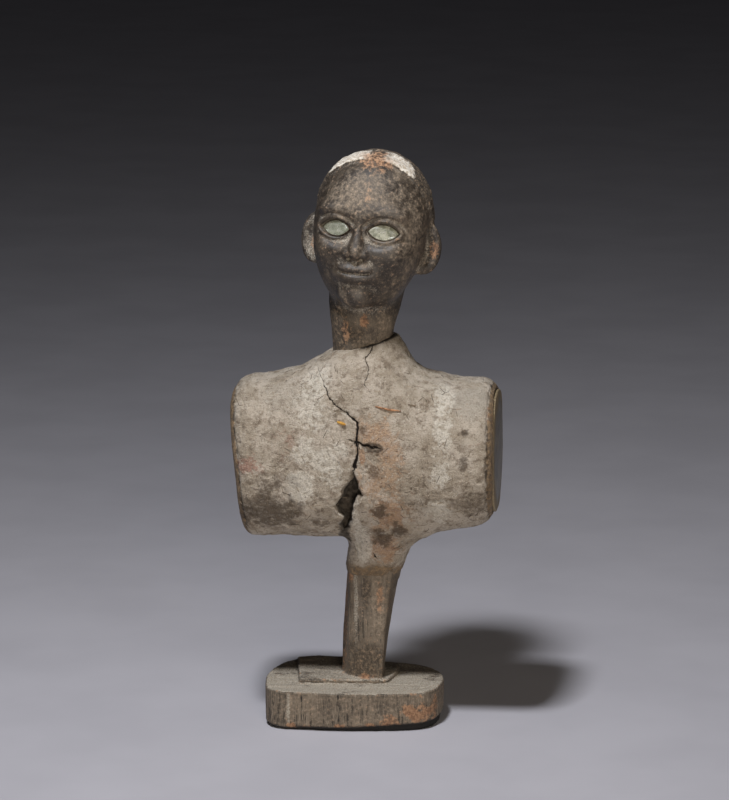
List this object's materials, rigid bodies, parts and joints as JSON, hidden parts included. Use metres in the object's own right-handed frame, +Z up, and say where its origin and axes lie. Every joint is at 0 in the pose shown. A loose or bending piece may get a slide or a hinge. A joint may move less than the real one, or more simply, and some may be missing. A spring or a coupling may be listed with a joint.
{
  "type": "carved figurine",
  "caption": "Armless carved wooden figurine: a head with glass eyes above a drum-like moulded clay pack, on a faceted post and an oval base.",
  "frame": {"origin": "on the surface the figurine stands on, under the middle of its bounding box", "axes": "+Z up through the head; -Y the way the figure faces; +X towards the end closed by the disc, the figure's left"},
  "size_m": [0.0921, 0.046, 0.1984],
  "materials": {
    "carved_wood": "satin",
    "moulded_clay": "matte",
    "eye_glass": "gloss",
    "end_disc": "satin"
  },
  "bodies": {
    "root": {"carved_figure": "carved_wood", "clay_pack": "moulded_clay", "eye_glass_left": "eye_glass", "eye_glass_right": "eye_glass", "end_disc": "end_disc"}
  },
  "joints": []
}
